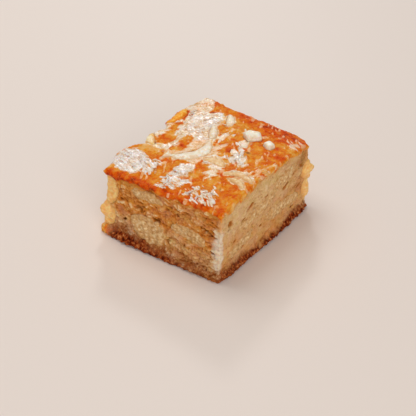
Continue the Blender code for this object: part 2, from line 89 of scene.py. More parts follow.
# Dried skin on the crust, in plan: its outline, how white it is, how much it is torn into strips,
# and the direction of the strips in degrees
SKINS = {
    "left corner": (
        [(-38.5, -36), (-39.5, -29), (-38.5, -24), (-37, -19.5), (-31, -19.5), (-24, -22), (-19, -24.5),
         (-17.5, -30), (-18.5, -36.5), (-24, -38), (-31, -38.5)],
        0.95, 0.3, 150),
    "left splinters": (
        [(-18.5, -22.5), (-14, -24), (-11.5, -31), (-12.5, -34.5), (-17.5, -36), (-17.5, -29)],
        0.85, 0.8, 156),
    "near lobe": (
        [(-4.6, -24.4), (-4, -19.3), (0.3, -16.2), (4.2, -18.4), (6.2, -25), (5, -29.5), (0, -31), (-4, -31)],
        0.75, 0.12, 50),
    "near middle": (
        [(-4.4, -40), (-2.8, -30), (5, -29), (9, -29), (8.6, -34), (6, -37.8), (2.5, -40)],
        0.85, 0.9, 8),
    "near right": (
        [(13, -38.5), (14, -32.4), (16.3, -30.8), (22.7, -32.2), (24, -28.5), (30, -35.6), (34.4, -39),
         (34, -41.2), (28.5, -41), (22.3, -40.6), (17.5, -40)],
        0.6, 1.05, 155),
    "far corner": (
        [(-39, 28), (-39.5, 38), (-37, 44), (-28, 44.5), (-26, 39), (-24, 33), (-22, 29), (-30, 27),
         (-35, 27)],
        0.26, 0.0, 57),
    "far left": (
        [(-35, 29), (-27, 34), (-22.7, 31), (-20, 34), (-16.5, 35), (-12, 30), (-10.5, 22), (-6, 13),
         (-4.2, 7.2), (-6.7, 4), (-10, 2), (-12, 5.5), (-17, 6.5), (-20.3, 5.5), (-27, 7.5), (-28.5, 14),
         (-30, 23)],
        0.58, 0.08, 57),
    "left branch": (
        [(-28, 9), (-18.5, 9), (-18.2, 1), (-18.6, -11), (-23.2, -11), (-22.6, -2), (-25, 3.5)],
        0.45, 0.35, 90),
    "striped": ([(-8.5, 25), (-11.8, 35.5), (-10, 34), (-6, 28), (-6.5, 24.5)], 0.6, 0.6, 20),
    "curls": ([(-4.6, 12), (-2.8, 17), (-3.6, 21), (-1, 22), (1.6, 13), (0.6, 7.7)], 0.35, 0.9, 100),
    "fold": (
        [(-1, 7), (3.4, 8.8), (5.5, 8.6), (5.5, 4), (5.5, -2), (3, -5.5), (0, -3), (-0.5, 2)],
        0.16, 0.5, 40),
    "long slice bed": (
        [(-16, -11.5), (-11.5, -9.5), (-11, -2), (-13.5, 5), (-2, 8), (-2, 3.5), (-1.5, -5), (3, -8.5),
         (3.4, -12), (1, -15.5), (-6, -16), (-12, -15.5), (-16, -14)],
        0.2, 0.08, 40),
    "middle": (
        [(10.7, 6), (9.7, 13), (13.9, 14.5), (17.8, 8), (20.5, 2.5), (26, -3.5), (25.2, -5.8), (17.4, -5),
         (12, -3), (11.5, 1.5)],
        0.62, 0.6, 135),
    "middle tail": ([(10, 21), (14, 20.5), (16.3, 14), (15.5, 10), (11, 10), (9.5, 14)], 0.4, 0.4, 110),
    "strip": (
        [(4, -4.5), (9, -3.7), (15, -5), (17, -9), (16, -14.5), (10, -15.2), (4.5, -13.5), (3, -9)],
        0.35, 0.35, 20),
    "between": ([(11, -15), (16, -16), (18, -21), (15, -24), (12, -20)], 0.3, 0.8, 50),
    "lobe": (
        [(-39, -3), (-34, -5.5), (-29, -8.8), (-23, -9.8), (-18.5, -11), (-23, -13.4), (-30, -13.4),
         (-36, -12), (-39, -7.5)],
        0.35, 0.5, 20),
    "lobe streaks": (
        [(-39.5, -11), (-29, -12), (-20, -13), (-20, -16), (-27, -15.5), (-40, -16)],
        0.05, 1.9, 20),
    "right slices": (
        [(20, -14.6), (22.5, -10), (28, -8.2), (33.5, -8.8), (38.5, -13.5), (37.4, -15.4), (32, -12.2),
         (28, -11.6), (24, -13)],
        0.3, 0.2, 170),
    "right rim": ([(33, -12), (37.5, -8), (38, 2), (36, 9), (34, 5), (31.5, -3)], 0.1, 1.0, 90),
    "by the chunk": ([(3.4, 23.5), (4.4, 27.4), (7.5, 26), (7.5, 21)], 0.5, 0.3, 130),
    "right corner bits": ([(27, 31), (29, 33), (34, 38), (36, 36), (35, 31), (33, 27.6)], 0.1, 1.4, 150),
    "left rim bits": ([(-38, 12), (-34, 11), (-31.5, 14), (-31, 20), (-34, 20), (-37, 17)], 0.5, 0.4, 30),
    "left rim low": ([(-41, 11), (-33, 12), (-30.5, 6), (-30, 1), (-31, -5), (-38, -5)], 0.3, 0.3, 30),
}
SKIN_HOLD = 3.0  # beyond this depth a patch of skin tears as it does there
STRAY_WHITE = 0.06  # whiteness of the stray wisps between the patches
BESIDE_WHITE = 0.3  # and of the skin that creeps round the slices

# Darker and paler baked places of the crust: x, y, radius and how much darker
TOASTS = (
    (-24.5, 36.0, 2.2, 0.7), (-21.5, 32.5, 2.0, 0.8), (-17.4, 10.0, 1.6, 0.7), (-13.4, 13.7, 1.3, 0.6),
    (10, 5.0, 3.6, 0.5), (-27, -3, 4.5, 0.34), (-16, -3, 5.5, 0.4), (-34, 24, 5, 0.25), (-14, -40, 8, 0.22),
    (-4, -41, 4, 0.1), (8, -43.5, 6, 0.16), (24, -44, 7, 0.18), (36, -43, 5, 0.1), (38, -34, 6, -0.25),
    (22, 38, 16, 0.3), (32, 18, 10, 0.22), (0, 42, 14, 0.26), (18, 24, 8, 0.12), (-36, 25, 4, 0.2),
    (-39.5, -43, 10, -0.5), (31, -27, 7, 0.12), (24, -22, 5, 0.05), (-14, -20, 6, -0.05), (36, -14, 6, -0.2),
    (37, 2, 5, -0.2), (-28, -15.5, 10, -0.26), (-8, -25, 6, -0.04), (5, 8, 4, 0.16), (8, -23, 6, -0.14),
    (20, 14, 6, -0.2), (-24, -12, 5, -0.15), (-30, 20, 5, 0.25), (37.5, -24, 5, -0.25),
)
RIM_TOAST = 0.26  # the near edge of the crust is redder

NOISE_GAIN = 1.6  # brings the noise to about -1 to 1
NOISE_STEP = 17.31  # how many lumps a seed moves the noise by
HOLE_STEP = 9.17
HOLE_RADIUS = (0.28, 0.3)  # in cells: the least, and how much more the largest has


def deselect_all():
    for chosen in list(bpy.context.selected_objects):
        chosen.select_set(False)


def make_active(piece):
    deselect_all()
    piece.select_set(True)
    bpy.context.view_layer.objects.active = piece


def merged_copy(node_name, name):
    """A new object with a CAD node's mesh, its loose triangles joined."""
    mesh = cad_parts[node_name].data.copy()
    mesh.materials.clear()
    mesh.name = name
    piece = bpy.data.objects.new(name, mesh)
    bpy.context.scene.collection.objects.link(piece)
    make_active(piece)
    bpy.ops.object.mode_set(mode="EDIT")
    bpy.ops.mesh.select_all(action="SELECT")
    bpy.ops.mesh.remove_doubles(threshold=MERGE * MM)
    bpy.ops.object.mode_set(mode="OBJECT")
    return piece


def points_of(piece):
    """The mesh's points, in millimetres."""
    flat = np.empty(len(piece.data.vertices) * 3, np.float32)
    piece.data.vertices.foreach_get("co", flat)
    return flat.reshape(-1, 3).astype(float) / MM


def normals_of(piece):
    flat = np.empty(len(piece.data.vertices) * 3, np.float32)
    piece.data.vertex_normals.foreach_get("vector", flat)
    return flat.reshape(-1, 3).astype(float)


def put_points(piece, points):
    piece.data.vertices.foreach_set("co", (points * MM).astype(np.float32).ravel())
    piece.data.update()


def store(piece, name, values):
    """Keeps one number from 0 to 1 for each point, for the material to read."""
    layer = piece.data.attributes.new(name, "FLOAT", "POINT")
    layer.data.foreach_set("value", np.clip(values, 0, 1).astype(np.float32))


def apply_modifier(piece, kind, **settings):
    make_active(piece)
    modifier = piece.modifiers.new(kind.title(), kind)
    for setting, value in settings.items():
        setattr(modifier, setting, value)
    bpy.ops.object.modifier_apply(modifier=modifier.name)


def step(values, low, high):
    """0 below low, 1 above high, and smooth between them."""
    share = np.clip((values - low) / (high - low), 0, 1)
    return share * share * (3 - 2 * share)


def cloud(points, size, seed=0):
    """Smooth noise from about -1 to 1, in lumps of a size in millimetres."""
    scaled = points / np.array(size, float) + seed * NOISE_STEP
    return NOISE_GAIN * np.array([noise.noise(place) for place in scaled.tolist()])


def strips(points, turn, size, seed=0):
    """Noise drawn out along a direction in plan: its length and width in millimetres."""
    angle = math.radians(turn)
    along = points[:, 0] * math.cos(angle) + points[:, 1] * math.sin(angle)
    across = points[:, 1] * math.cos(angle) - points[:, 0] * math.sin(angle)
    return cloud(np.stack([along / size[0], across / size[1], 0 * along], 1), 1, seed)


def bubbles(points, size, share, seed=0):
    """Round hollows: 1 at the middle of one, 0 outside. Only a share of the cells holds one."""
    scaled = points / np.array(size, float) + seed * HOLE_STEP
    depth = np.zeros(len(points))
    for i, place in enumerate(scaled.tolist()):
        distances, centres = noise.voronoi(place)
        chance = abs(noise.cell(centres[0] * 31.7)) % 1
        if chance < share:
            radius = HOLE_RADIUS[0] + HOLE_RADIUS[1] * chance / share
            depth[i] = max(0.0, 1 - distances[0] / radius)
    return depth


def inside(points, outline):
    """How far inside a plan outline each point lies, in millimetres, and less than 0 outside."""
    corners = np.array(outline, float)
    place = points[:, :2]
    nearest = np.full(len(place), 1e9)
    within = np.zeros(len(place), bool)
    for start, end in zip(corners, np.roll(corners, -1, axis=0)):
        along = end - start
        share = np.clip(((place - start) @ along) / (along @ along), 0, 1)
        away = place - start - share[:, None] * along
        nearest = np.minimum(nearest, np.hypot(away[:, 0], away[:, 1]))
        if start[1] != end[1]:
            crosses = (place[:, 1] < start[1]) != (place[:, 1] < end[1])
            at = start[0] + (place[:, 1] - start[1]) / (end[1] - start[1]) * along[0]
            within ^= crosses & (place[:, 0] < at)
    return np.where(within, nearest, -nearest)


def along_line(places, line):
    """The value of a line through (place, value) points."""
    return np.interp(places, [p[0] for p in line], [p[1] for p in line])


apple_nodes = sorted(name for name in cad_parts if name.startswith("apple"))
sponge = merged_copy("sponge", "sponge_crumb")
solid_tree = BVHTree.FromPolygons(
    [v.co / MM for v in sponge.data.vertices], [tuple(p.vertices) for p in sponge.data.polygons]
)

# The crumb behind each slice of the cut faces: the slice's own form without its front
fillings = []
for name in apple_nodes:
    side = name.split("_")[1]
    if side not in SIDES:
        continue
    axis, inwards = SIDES[side]
    filling = merged_copy(name, "filling")
    put_points(filling, points_of(filling) + normals_of(filling) * WALL_OVERLAP)
    low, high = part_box(name)
    cut = Vector((0, 0, 0))
    cut[axis] = (low if inwards > 0 else high)[axis] + inwards * HOLLOW_DEPTH * MM
    outwards = Vector((0, 0, 0))
    outwards[axis] = -inwards
    bpy.ops.object.mode_set(mode="EDIT")
    bpy.ops.mesh.select_all(action="SELECT")
    bpy.ops.mesh.bisect(plane_co=cut, plane_no=outwards, use_fill=True, clear_outer=True)
    bpy.ops.object.mode_set(mode="OBJECT")
    fillings.append(filling)
deselect_all()
for filling in fillings:
    filling.select_set(True)
sponge.select_set(True)
bpy.context.view_layer.objects.active = sponge
bpy.ops.object.join()
apply_modifier(sponge, "REMESH", mode="VOXEL", voxel_size=SPONGE_VOXEL * MM)

# Height of the crust over each cell of the plan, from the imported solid. Cells over the hollows and past
# the edges take the height beside them.
HEIGHT_CELL = 1.0
GRID_MARGIN = 2
ABOVE_ALL = 90
CRUST_DROP = 12  # a hit further below the highest point isn't the crust
SPREAD_ROUNDS, RAISE_ROUNDS, SMOOTH_ROUNDS = 8, 2, 4
box_low, box_high = (np.array(corner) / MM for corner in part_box("sponge"))
grid_low = box_low[:2] - GRID_MARGIN
grid_size = np.ceil((box_high[:2] - grid_low + GRID_MARGIN) / HEIGHT_CELL).astype(int) + 1
heights = np.full(grid_size, np.nan)
for i in range(grid_size[0]):
    for j in range(grid_size[1]):
        start = Vector((grid_low[0] + i * HEIGHT_CELL, grid_low[1] + j * HEIGHT_CELL, ABOVE_ALL))
        hit = solid_tree.ray_cast(start, Vector((0, 0, -1)))[0]
        if hit is not None and hit.z > box_high[2] - CRUST_DROP:
            heights[i, j] = hit.z
AROUND = ((0, 0), (0, 1), (1, 0), (0, -1), (-1, 0))
for _ in range(SPREAD_ROUNDS):
    beside = np.stack([np.roll(heights, shift, (0, 1)) for shift in AROUND])
    counted = np.isfinite(beside).sum(0)
    filled = np.where(counted > 0, np.nansum(beside, 0) / np.maximum(counted, 1), np.nan)
    heights = np.where(np.isnan(heights), filled, heights)
heights = np.where(np.isnan(heights), np.nanmean(heights), heights)
for _ in range(RAISE_ROUNDS):
    heights = np.max([np.roll(heights, shift, (0, 1)) for shift in AROUND], axis=0)
for _ in range(SMOOTH_ROUNDS):
    heights = np.mean([np.roll(heights, shift, (0, 1)) for shift in AROUND], axis=0)


def crust_height(points):
    """Height of the crust at each point's place in plan."""
    place = (points[:, :2] - grid_low) / HEIGHT_CELL
    cell = np.clip(np.floor(place).astype(int), 0, grid_size - 2)
    share = np.clip(place - cell, 0, 1)
    i, j = cell.T
    row = heights[i, j] * (1 - share[:, 0]) + heights[i + 1, j] * share[:, 0]
    next_row = heights[i, j + 1] * (1 - share[:, 0]) + heights[i + 1, j + 1] * share[:, 0]
    return row * (1 - share[:, 1]) + next_row * share[:, 1]


def tree_of(names):
    """A search tree of several CAD nodes."""
    corners = []
    triangles = []
    for name in names:
        first = len(corners)
        corners += [v.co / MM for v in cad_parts[name].data.vertices]
        triangles += [tuple(first + i for i in p.vertices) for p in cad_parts[name].data.polygons]
    return BVHTree.FromPolygons(corners, triangles)


def distance(tree, points, reach):
    return np.array([tree.find_nearest(place, reach)[3] or reach for place in points.tolist()])


# Apple that dried pale in the top, where the skin creeps over its edges
PALE_SLICES = [
    "apple_top_long", "apple_top_crescent", "apple_top_sliver", "apple_top_strip", "apple_top_blade",
    "apple_top_striped", "apple_top_bit",
]
NEAREST = 5.0  # how far round each point the apple is looked for
points = points_of(sponge)
normals = normals_of(sponge)
x, y, z = points.T
to_apple = distance(tree_of(apple_nodes), points, NEAREST)
to_slice = distance(tree_of(PALE_SLICES), points, NEAREST)

# Which cut face each point belongs to
east, north = x / HALF_WIDTH, y / HALF_LENGTH
near = step(-north - np.abs(east), -0.06, 0.06)
right = step(east - np.abs(north), -0.06, 0.06)
left = step(-east - np.abs(north), -0.06, 0.06)
far = step(north - np.abs(east), -0.06, 0.06)
torn = np.clip(near + 0.8 * left, 0, 1)

# Where the top crust and the base crust end, and how high the crumb is browned above the base crust
ragged = 0.8 * cloud(points, (6, 6, 3), 31) + 0.5 * cloud(points, (2.2, 2.2, 1.4), 32)
depth = crust_height(points) - z
crust_end = near * along_line(x, CRUST_NEAR) + (1 - near) * CRUST_OTHER
fringe = (0.9 + 1.1 * right) * cloud(points, (3.6, 3.6, 9), 33)
crust = 1 - step(depth + ragged + fringe, crust_end - 0.5, crust_end + 0.5)
base_end = near * along_line(x, BASE_NEAR) + right * along_line(y, BASE_RIGHT)
base_end += BASE_OTHER * (1 - near - right).clip(0, 1)
base = 1 - step(z + 1.6 * ragged, base_end - 2.6 + right, base_end + 0.9)
base_paler = 0.2 * right * (1 - step(y, -36, -14)) + 0.35 * near * step(x, 10, 30)
browned_end = base_end + 5 + 6 * near - 1.6 * right * step(y, -30, -14)
browned = 1 - step(z + 2.2 * ragged, base_end - 1.5, browned_end)
underside = 1 - step(z, 0.15, 0.8)

# The crumb from large to small: soft layers, lumps and crumbs torn by the knife, grains, and its holes.
# Each has its size in millimetres and its seed, and a hole also the share of the cells that hold one.
LAYERS, LAYER_DEPTH = ((8, 8, 3.2), 41), 0.36
LUMPS, LUMP_DEPTH = ((4.2, 4.2, 3.0), 42), 0.9
CRUMBS, CRUMB_DEPTH = ((1.9, 1.9, 1.5), 43), 0.6
GRAINS, GRAIN_DEPTH = (1.0, 44), 0.26
LARGE_HOLES, LARGE_DEPTH = ((4.0, 4.0, 2.4), 0.26, 1), 0.95
SMALL_HOLES, SMALL_DEPTH = ((1.9, 1.9, 1.5), 0.4, 2), 0.35
LONG_TEARS, TEAR_DEPTH = ((13, 13, 2.8), 45), 0.9
TORN_PLACES = (9, 46)
POCKET_DEPTH = 0.6
MIDDLE = 0.4  # middle height of a lump or a crumb
layers = cloud(points, *LAYERS)
large = bubbles(points, *LARGE_HOLES)
small = bubbles(points, *SMALL_HOLES)
tears = (1 - step(np.abs(cloud(points, *LONG_TEARS)), 0.02, 0.14)) * step(cloud(points, *TORN_PLACES), 0, 0.5)
pockets = np.zeros(len(points))
for share, along, places in ((near, x, NEAR_POCKETS), (right, y, RIGHT_POCKETS)):
    for place, level, half_length, half_height in places:
        out = np.hypot((along - place) / half_length, (z - level + 0.8 * ragged) / half_height)
        pockets = np.maximum(pockets, share * (1 - step(out, 0.4, 1.3)))
coarse = near * step(x, 2, 12) * (1 - step(z, 12, 20))
soaked = np.clip(near + left * (1 - step(y, -38, -32)), 0, 1) * (1 - step(x + 2.0 * ragged, -35.5, -27))
# The far right edge, painted lighter and amber as if light shone through it
painted_glow_edge = (right + far).clip(0, 1) * step(x, 20, 34) * step(y + 1.5 * ragged, 34, 41)
amount = (0.3 + 0.62 * torn) * (1 - 0.5 * soaked)
away = LAYER_DEPTH * layers + LUMP_DEPTH * (np.abs(cloud(points, *LUMPS)) - MIDDLE)
away += CRUMB_DEPTH * (np.abs(cloud(points, *CRUMBS)) - MIDDLE) + GRAIN_DEPTH * cloud(points, *GRAINS)
away -= LARGE_DEPTH * step(large, 0, 0.7) + (SMALL_DEPTH + 0.5 * coarse) * step(small, 0, 0.7)
away = amount * (away - TEAR_DEPTH * tears) - (POCKET_DEPTH - 0.15 * near) * pockets
away *= 0.4 + 0.6 * step(to_apple, 0.3, 1.8)
behind_face = np.minimum(HALF_WIDTH + 0.8 - np.abs(x), HALF_LENGTH + 0.8 - np.abs(y))
in_hollow = step(behind_face, 1.7, 2.9) * (1 - crust) * (1 - left) * step(z, 1.5, 2.5)

# The base crust: baked crumbs
base_relief = 0.9 * (np.abs(cloud(points, 2.4, 51)) - 0.3) + 0.35 * cloud(points, 1.2, 52)
base_relief -= 0.6 * step(bubbles(points, 2.2, 0.35, 3), 0, 0.8)

# The skin on the crust: how far inside its ragged edge each point lies, its whiteness and its strips.
# Where two patches meet, the one that lies deeper shows.
warp = 1.2 * cloud(points, 4.5, 3) + 0.8 * cloud(points, 1.9, 4)
reached = np.full(len(points), -9.0)
white = np.zeros(len(points))
folds = np.zeros(len(points))
for outline, whiteness, torn_skin, turn in SKINS.values():
    reach = inside(points, outline)
    place = reach > -6
    part = points[place]
    stripes = 0.6 * strips(part, turn, (8, 1.8), 11) + 0.6 * strips(part, turn, (4, 0.9), 12)
    depth_in = np.minimum(reach[place], SKIN_HOLD) + 0.5 + warp[place] * (0.7 + 0.6 * torn_skin)
    depth_in += 4.0 * torn_skin * (stripes - 0.28)
    deeper = depth_in > reached[place]
    white[place] = np.where(deeper, whiteness, white[place])
    folds[place] = np.where(deeper, stripes, folds[place])
    reached[place] = np.maximum(reached[place], depth_in)
stray = 3.2 * (0.5 * cloud(points, (5, 5, 9), 13) + 0.8 * strips(points, 120, (4, 1.4), 14) - 0.5)
stray = np.where(x > -24, stray, -9)
white = np.where(stray > reached, STRAY_WHITE, white)
reached = np.maximum(reached, stray)
beside = 1.5 - 1.1 * to_slice + 0.6 * warp
uneven = (0.06 + 0.16 * step(white, 0.1, 0.4)) * cloud(points, 5, 15)
white = np.where(beside > reached, BESIDE_WHITE, white) + uneven
reached = np.maximum(reached, beside)
skin = step(reached, -0.1, 0.7)
top = step(normals[:, 2], 0.15, 0.55) * crust
wrinkles = cloud(points, (1.3, 1.3, 3), 64)
grit = cloud(points, 0.8, 65)
SKIN_THICKNESS = 0.32
skin_relief = SKIN_THICKNESS + 0.2 * folds + 0.1 * wrinkles + 0.12 * grit * white
glaze = 0.26 * (np.abs(cloud(points, (3.4, 3.4, 6), 62)) - 0.35) + 0.14 * cloud(points, 1.5, 63) + 0.09 * grit
glaze -= 0.3 * step(bubbles(points, 2.8, 0.2, 4), 0, 0.8)

# How dark the crust has baked
toast = 0.42 + 0.15 * cloud(points, 13, 21) + 0.18 * cloud(points, 4.2, 22) + 0.18 * cloud(points, 1.5, 23)
for spot_x, spot_y, radius, darker in TOASTS:
    from_spot = np.hypot(x - spot_x, y - spot_y) + 0.25 * radius * warp
    toast += darker * (1 - step(from_spot, 0.1 * radius, radius))
rim = (1 - step(y + HALF_LENGTH, 2, 5.5)) * (0.7 + 0.3 * step(x, -40, -33) - 0.5 * step(x, -8, 8))
toast += RIM_TOAST * rim + (0.08 * near - 0.14 * right) * step(depth, 0.3, 1.6)

# A pale smear of batter down the near edge, and the juice that the apple left
from_edge = np.where(near > right, 1.0 * (HALF_WIDTH - 0.5 - x), 1.5 * (y + HALF_LENGTH - 0.5))
smear = 1 - step(from_edge + 2.0 * cloud(points, (4, 4, 5), 71) + 0.8 * ragged, 0.4, 4.6)
smear *= step(z, 4, 9) * (1 - step(z, 27, 36)) * (1 - crust)
glow = near * (1 - step(depth, crust_end, crust_end + 2 + 5.5 * (1 - step(x, -38, -8))))
glow += right * (1 - step(depth + ragged, crust_end, crust_end + 3))
seeped = (1 - step(to_apple + 0.8 * ragged, 0.0, 2.2)) * step(cloud(points, (6, 6, 3), 47), -0.15, 0.45)
# the juice tone also paints the far right edge amber, as a painted glow
juice = np.maximum.reduce(
    [0.8 * seeped, 0.8 * glow, 0.6 * soaked, in_hollow * near, pockets, 0.5 * painted_glow_edge,
     near * step(large, 0.2, 0.7), near * 0.8 * tears]
)
caramel = base * soaked  # where the apple's sugar reached the tin

# Painted light and shade on the crumb, and how moist and brown it is on each face
# painted light: lighter on the high places, the soaked left end and the far right edge; a little darker where
# coarse
lightness = 0.62 + 0.2 * soaked + 0.3 * painted_glow_edge - 0.08 * coarse
# painted shade: darker in the juice pockets, and below, in the hollows behind the slices
lightness += (0.34 + 0.12 * torn) * (away + POCKET_DEPTH * pockets) - (0.24 + 0.4 * right) * pockets
lightness -= (0.5 - 0.42 * near) * in_hollow
moist = near * (0.4 + 0.6 * step(z, 10, 22)) * (1 - 0.8 * soaked)
moist += 0.3 * left + 0.55 * right * (1 - step(z, 10, 28))
for_finish = {
    "crust": np.maximum(crust, 0.9 * caramel),
    "toast": toast - 0.16 * caramel,
    "base_crust": base * (1 - base_paler) * (1 - soaked),
    "browned": browned * (1 - 0.6 * soaked),
    "skin": (0.5 + 0.2 * (reached - 0.3)) * step(top, 0.2, 0.6),
    "white": white,
    "folds": 0.5 + 0.5 * folds,
    "juice": juice,
    "lightness": lightness,
    "moist": moist,
    "smear": smear,
}
for name, values in for_finish.items():
    store(sponge, name, values)

# The points move out and in along their normals, and the foot bows out but stays on the floor
creep = 0.6 * (1 - step(to_slice, 0.3, 2.0)) * (0.6 + 0.6 * cloud(points, 3, 72))
crumb_share = (1 - crust) * (1 - base) * (1 - underside)
move = crumb_share * away + base * (1 - underside) * base_relief
move += top * step(to_apple, 0.3, 1.4) * (glaze * (1 - skin) + skin_relief * skin) + top * creep
move += (crust - top) * (0.3 * wrinkles + 0.2 * layers)
move *= 1 - 0.4 * smear
bow = (near * along_line(x, NEAR_BOW) + right * along_line(y, RIGHT_BOW)) * (1 - step(z, 0.5, BOW_TOP))
moved = points + normals * move[:, None]
moved[:, :2] += normals[:, :2] * bow[:, None]
moved[:, 1] -= CORNER_TUCK * step(x, 20, 36) * step(y, 30, 42) * (1 - step(z, 1, 12))
moved[:, 2] = np.maximum(moved[:, 2], 0)
put_points(sponge, moved)
apply_modifier(sponge, "DECIMATE", ratio=min(1.0, SPONGE_FACES / (2 * len(sponge.data.polygons))))


def linear(colour):
    """Linear red, green, blue and alpha from an sRGB hex value."""
    parts = [int(colour[i : i + 2], 16) / 255 for i in (1, 3, 5)]
    return [p / 12.92 if p <= 0.04045 else ((p + 0.055) / 1.055) ** 2.4 for p in parts] + [1.0]


def new_material(name):
    made = bpy.data.materials.new(name)
    made.use_nodes = True
    return made, made.node_tree, made.node_tree.nodes["Principled BSDF"]


def add(tree, kind, inputs=None, stops=(), out=0, **settings):
    """One output of a new node. An input takes a number, an sRGB hex value or another node's output."""
    made = tree.nodes.new("ShaderNode" + kind)
    for name, value in settings.items():
        setattr(made, name, value)
    for place, value in (inputs or {}).items():
        if isinstance(value, bpy.types.NodeSocket):
            tree.links.new(value, made.inputs[place])
        else:
            made.inputs[place].default_value = linear(value) if isinstance(value, str) else value
    for i, (place, colour) in enumerate(stops):
        element = made.color_ramp.elements[i] if i < 2 else made.color_ramp.elements.new(place)
        element.position = place
        element.color = linear(colour)
    return made.outputs[out]


# Whisked sponge: an open matt crumb, gold and shiny where it baked against the air, and red-brown where
# it baked against the tin. The juice of the apple stains it amber.
PORE_SIZE = 1.3
FINE_PORE_SIZE = 0.6
FACET_SIZE = 2.3
WARP = 1.1
sponge_finish, tree, surface = new_material("baked whisked sponge")
at = add(tree, "TexCoord", out="Object")
is_here = {name: add(tree, "Attribute", attribute_name=name, out="Fac") for name in for_finish}
flat = add(tree, "Mapping", {"Vector": at, "Scale": (1, 1, 1.6)})
patches = add(tree, "TexNoise", {"Vector": flat, "Scale": 1 / (12 * MM), "Detail": 2})
tint = add(tree, "TexNoise", {"Vector": flat, "Scale": 1 / (5 * MM), "Detail": 2})
flecks = add(tree, "TexNoise", {"Vector": flat, "Scale": 1 / (2.2 * MM), "Detail": 4, "Roughness": 0.6})
grain = add(tree, "TexNoise", {"Vector": at, "Scale": 1 / (0.9 * MM), "Detail": 3})
tiny = add(tree, "TexNoise", {"Vector": at, "Scale": 1 / (0.45 * MM), "Detail": 2})
drift = add(tree, "TexNoise", {"Vector": at, "Scale": 1 / (1.6 * MM), "Detail": 2}, out="Color")
warped = add(tree, "VectorMath", {0: drift, 1: (WARP * MM,) * 3, 2: at}, operation="MULTIPLY_ADD")

# Pores of the crumb, the fine ones coarser than real ones so that they show. They are painted darker, as
# painted shade
pore = add(tree, "TexVoronoi", {"Vector": warped, "Scale": 1 / (PORE_SIZE * MM)})
pore = add(tree, "MapRange", {"Value": pore, "From Min": 0.12, "From Max": 0.4, "To Min": 1, "To Max": 0})
porous = add(tree, "MapRange", {"Value": flecks, "From Min": 0.66, "From Max": 0.46})
pore = add(tree, "Math", {0: pore, 1: porous}, operation="MULTIPLY")
fine_pore = add(tree, "TexVoronoi", {"Vector": warped, "Scale": 1 / (FINE_PORE_SIZE * MM)})
fine_pore = add(
    tree, "MapRange", {"Value": fine_pore, "From Min": 0.1, "From Max": 0.4, "To Min": 1, "To Max": 0}
)
hole = add(tree, "Math", {0: fine_pore, 1: 0.4, 2: pore}, operation="MULTIPLY_ADD")

# The crumb's colour: dry or moist, with rosy and yellow places, then the juice, the brown and the smear
shade = add(tree, "Math", {0: flecks, 1: 0.5, 2: -0.17}, operation="MULTIPLY_ADD")
# painted light and shade: the mesh's painted shading, then the pores painted darker
shade = add(tree, "Math", {0: is_here["lightness"], 1: shade}, operation="ADD")
shade = add(tree, "Math", {0: hole, 1: -0.3, 2: shade}, operation="MULTIPLY_ADD")
dry_crumb = add(
    tree, "ValToRGB", {0: shade},
    [(0, "#8A5421"), (0.34, "#C68C53"), (0.58, "#E0B47C"), (0.8, "#EECB98"), (1, "#FBE9C6")],
)
moist_crumb = add(
    tree, "ValToRGB", {0: shade},
    [(0, "#76380C"), (0.34, "#B8621F"), (0.58, "#D67F30"), (0.8, "#E49C50"), (1, "#F6D09C")],
)
moist_is = add(
    tree, "MapRange", {"Value": patches, "From Min": 0.3, "From Max": 0.7, "To Min": -0.3, "To Max": 0.3}
)
moist_is = add(tree, "Math", {0: is_here["moist"], 1: moist_is}, operation="ADD", use_clamp=True)
crumb_colour = add(tree, "Mix", {0: moist_is, 6: dry_crumb, 7: moist_crumb}, data_type="RGBA", out=2)
rosy = add(tree, "MapRange", {"Value": tint, "From Min": 0.5, "From Max": 0.68, "To Max": 0.4})
yellow = add(tree, "MapRange", {"Value": tint, "From Min": 0.47, "From Max": 0.32, "To Max": 0.35})
stain = add(
    tree, "MapRange", {"Value": tint, "From Min": 0.36, "From Max": 0.6, "To Min": 0.1, "To Max": 0.75}
)
stain = add(tree, "Math", {0: stain, 1: is_here["juice"]}, operation="MULTIPLY")
pooled = add(tree, "MapRange", {"Value": is_here["juice"], "From Min": 0.82, "From Max": 1, "To Max": 0.75})
stain = add(tree, "Math", {0: stain, 1: pooled}, operation="MAXIMUM")
syrup = add(tree, "ValToRGB", {0: shade}, [(0.2, "#BA6818"), (0.62, "#E69E3A")])
brown = add(tree, "Math", {0: is_here["browned"], 1: grain}, operation="MULTIPLY")
brown = add(tree, "MapRange", {"Value": brown, "From Min": 0.1, "From Max": 0.6, "To Max": 0.85})
smeared = add(tree, "Math", {0: is_here["smear"], 1: flecks}, operation="MULTIPLY")
smeared = add(tree, "MapRange", {"Value": smeared, "From Min": 0.12, "From Max": 0.55, "To Max": 0.88})
over_crumb = (
    (rosy, "#DCA07A"), (yellow, "#DEB664"), (stain, syrup), (brown, "#94481E"), (smeared, "#F6E8D0"),
)
for share, over in over_crumb:
    crumb_colour = add(tree, "Mix", {0: share, 6: crumb_colour, 7: over}, data_type="RGBA", out=2)

# The top crust: its bake, then a streaky pale film on the paler places, and pale specks of sugar and painted
# glints
baked = add(tree, "Math", {0: grain, 1: 0.34, 2: -0.17}, operation="MULTIPLY_ADD")
baked = add(tree, "Math", {0: is_here["toast"], 1: baked}, operation="ADD")
